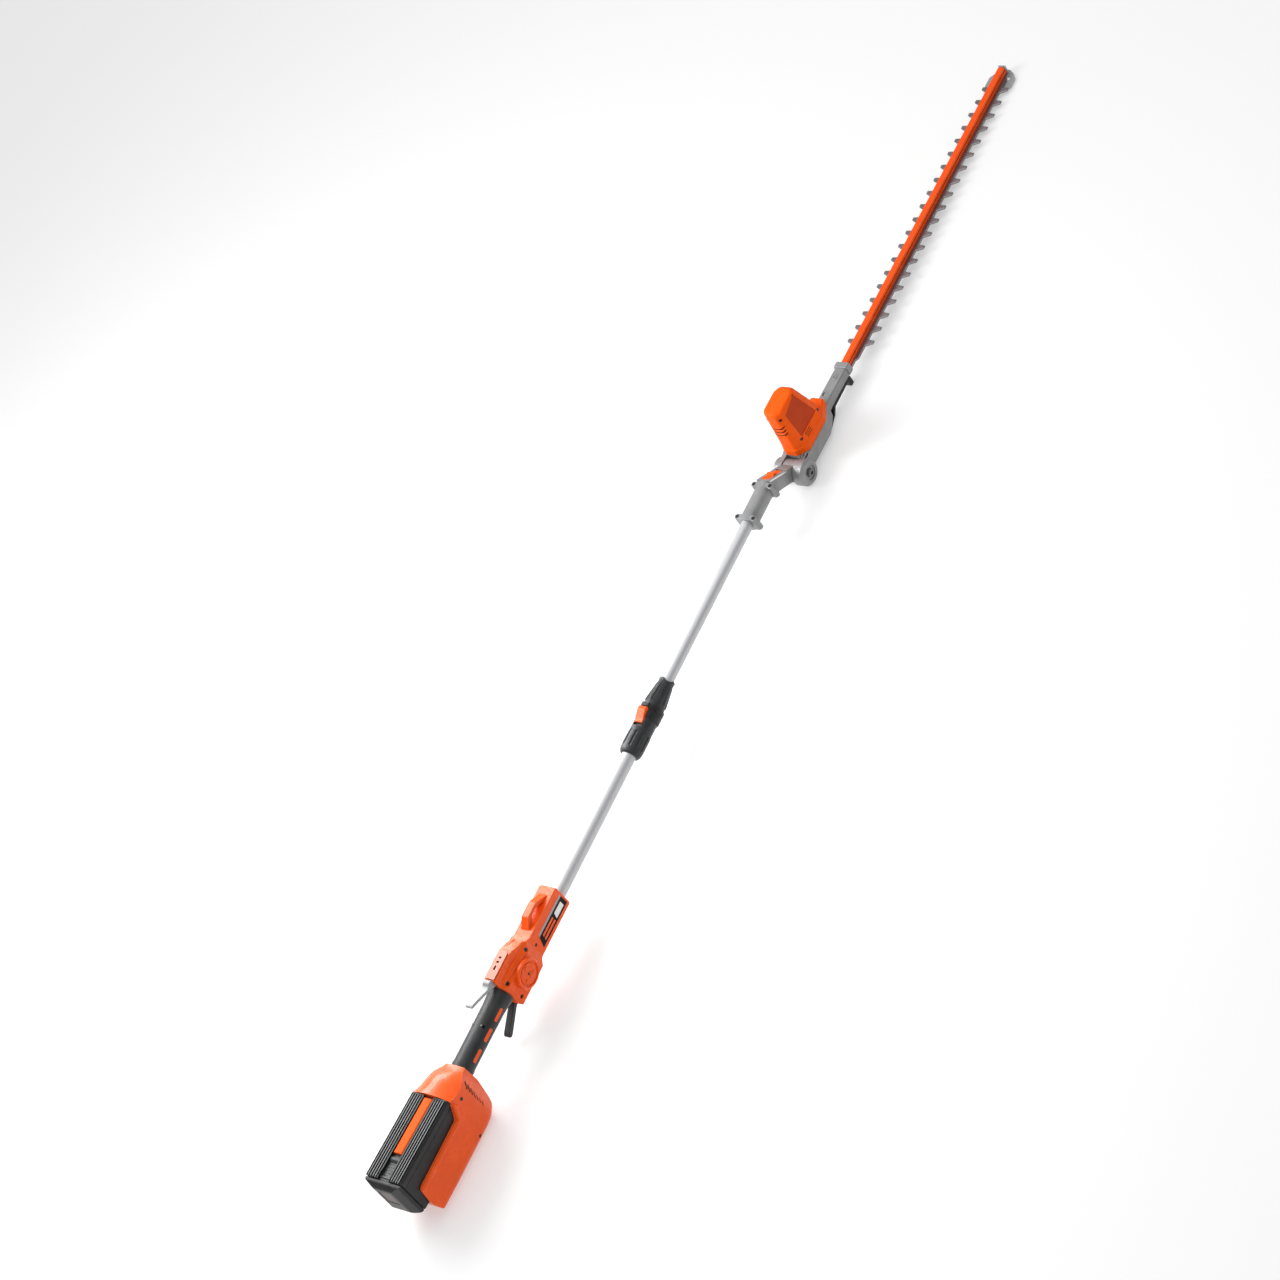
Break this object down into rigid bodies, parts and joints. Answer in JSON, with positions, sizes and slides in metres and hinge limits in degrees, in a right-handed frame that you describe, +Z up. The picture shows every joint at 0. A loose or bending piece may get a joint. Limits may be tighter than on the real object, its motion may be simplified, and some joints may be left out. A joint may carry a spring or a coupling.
{
  "type": "cordless pole hedge trimmer",
  "caption": "Cordless pole hedge trimmer: battery handle with trigger, telescoping pole and a tilting head with double-sided reciprocating blades.",
  "frame": {"origin": "middle of the overall box at its lowest plane, on the floor the tool lies on", "axes": "+X along the pole from the battery to the blade tip, +Y to the user's left, +Z up"},
  "size_m": [2.3258, 0.084, 0.1434],
  "materials": {
    "shell_orange": "moulded orange plastic, satin gloss",
    "grip_charcoal": "moulded charcoal plastic, fine texture",
    "pack_black": "near-black moulded plastic",
    "lever_grey": "light grey moulded plastic",
    "casting_grey": "cast aluminium, grey, satin",
    "pole_silver": "drawn aluminium tube, anodised",
    "bar_orange": "extruded aluminium with an orange-red coat",
    "blade_steel": "ground blade steel, satin",
    "bright_steel": "plated steel",
    "rotor_copper": "laminations and copper windings",
    "board_green": "circuit board",
    "cell_blue": "sleeved cells"
  },
  "bodies": {
    "handle": {"rear_housing_left": "shell_orange", "rear_housing_right": "shell_orange", "controller_board": "board_green", "terminal_block": "pack_black", "grip_left": "grip_charcoal", "grip_right": "grip_charcoal", "control_housing_left": "shell_orange", "control_housing_right": "shell_orange", "side_disc_left": "shell_orange", "side_disc_right": "shell_orange", "indicator_panel": "shell_orange", "sling_loop": "shell_orange", "main_switch": "pack_black", "trigger_pin": "bright_steel", "lock_off_pin": "bright_steel", "outer_tube": "pole_silver", "lock_grip": "grip_charcoal", "lock_ring": "pack_black", "lock_nose": "grip_charcoal", "lock_lever_pin": "bright_steel"},
    "battery": {"battery_case": "pack_black", "battery_lid": "pack_black", "battery_end_cap": "pack_black", "battery_strip": "shell_orange", "battery_cells": "cell_blue", "battery_board": "board_green"},
    "latch": {"battery_latch": "grip_charcoal"},
    "trigger": {"trigger": "grip_charcoal"},
    "lock_off": {"lock_off_lever": "lever_grey"},
    "pole_lever": {"lock_lever": "shell_orange"},
    "upper_pole": {"inner_tube": "pole_silver", "tube_guide": "pack_black", "clamp_cap": "casting_grey", "knuckle_arm": "casting_grey", "clamp_screw_1": "bright_steel", "clamp_screw_2": "bright_steel", "clamp_screw_3": "bright_steel", "clamp_screw_4": "bright_steel"},
    "tilt_button": {"tilt_release": "shell_orange"},
    "head": {"gear_case": "casting_grey", "gear_case_cover": "pack_black", "front_collar": "casting_grey", "motor_housing_left": "shell_orange", "motor_housing_right": "shell_orange", "motor_can": "bright_steel", "pivot_bolt": "bright_steel", "pivot_nut": "bright_steel", "blade_bar": "bar_orange", "tip_guard": "casting_grey", "blade_bolt_rear": "bright_steel", "blade_bolt_middle": "bright_steel", "blade_bolt_tip": "bright_steel", "crank_bearing_upper": "bright_steel", "crank_bearing_lower": "bright_steel"},
    "motor": {"motor_rotor": "rotor_copper", "pinion": "bright_steel"},
    "crank": {"crankshaft": "bright_steel", "drive_gear": "bright_steel"},
    "upper_cutter": {"upper_blade": "blade_steel"},
    "lower_cutter": {"lower_blade": "blade_steel"}
  },
  "joints": [
    {"name": "battery_slide", "type": "slide", "parent": "handle", "child": "battery", "axis": [-0.9986, 0, 0.0523], "range_m": [0, 0.17]},
    {"name": "battery_latch_press", "type": "slide", "parent": "battery", "child": "latch", "axis": [-0.0523, 0, -0.9986], "range_m": [0, 0.003], "stiffness_N_per_m": 400, "springref_m": -0.002},
    {"name": "trigger_pull", "type": "hinge", "parent": "handle", "child": "trigger", "pos_m": [-0.77786, 0, 0.046], "axis": [0, 1, 0], "range_deg": [0, 16], "stiffness_Nm_per_rad": 0.3, "springref_deg": -11.46},
    {"name": "lock_off_press", "type": "hinge", "parent": "handle", "child": "lock_off", "pos_m": [-0.77686, 0, 0.108], "axis": [0, -1, 0], "range_deg": [0, 14], "stiffness_Nm_per_rad": 0.3, "springref_deg": -11.46},
    {"name": "pole_lever_lift", "type": "hinge", "parent": "handle", "child": "pole_lever", "pos_m": [-0.27986, 0, 0.0836], "axis": [0, -1, 0], "range_deg": [0, 75]},
    {"name": "pole_extend", "type": "slide", "parent": "handle", "child": "upper_pole", "axis": [1, 0, 0], "range_m": [-0.24, 0.15]},
    {"name": "tilt_release_press", "type": "slide", "parent": "upper_pole", "child": "tilt_button", "axis": [0.8387, 0, -0.5446], "range_m": [0, 0.004], "stiffness_N_per_m": 400, "springref_m": -0.002},
    {"name": "head_tilt", "type": "hinge", "parent": "upper_pole", "child": "head", "pos_m": [0.26414, 0, 0.024], "axis": [0, 1, 0], "range_deg": [-45, 90]},
    {"name": "motor_spin", "type": "hinge", "parent": "head", "child": "motor", "pos_m": [0.32035, 0, 0.03273], "axis": [0.0227, 0, 0.9997], "continuous": true},
    {"name": "crank_spin", "type": "hinge", "parent": "head", "child": "crank", "pos_m": [0.34435, 0, 0.03218], "axis": [0.0227, 0, 0.9997], "continuous": true},
    {"name": "upper_blade_slide", "type": "slide", "parent": "head", "child": "upper_cutter", "axis": [0.9997, 0, -0.0227], "range_m": [-0.005, 0.005]},
    {"name": "lower_blade_slide", "type": "slide", "parent": "head", "child": "lower_cutter", "axis": [0.9997, 0, -0.0227], "range_m": [-0.005, 0.005]}
  ],
  "couplings": [
    {"joint": "motor_spin", "follows": "crank_spin", "ratio": -3.2857},
    {"joint": "lower_blade_slide", "follows": "upper_blade_slide", "ratio": -1}
  ]
}
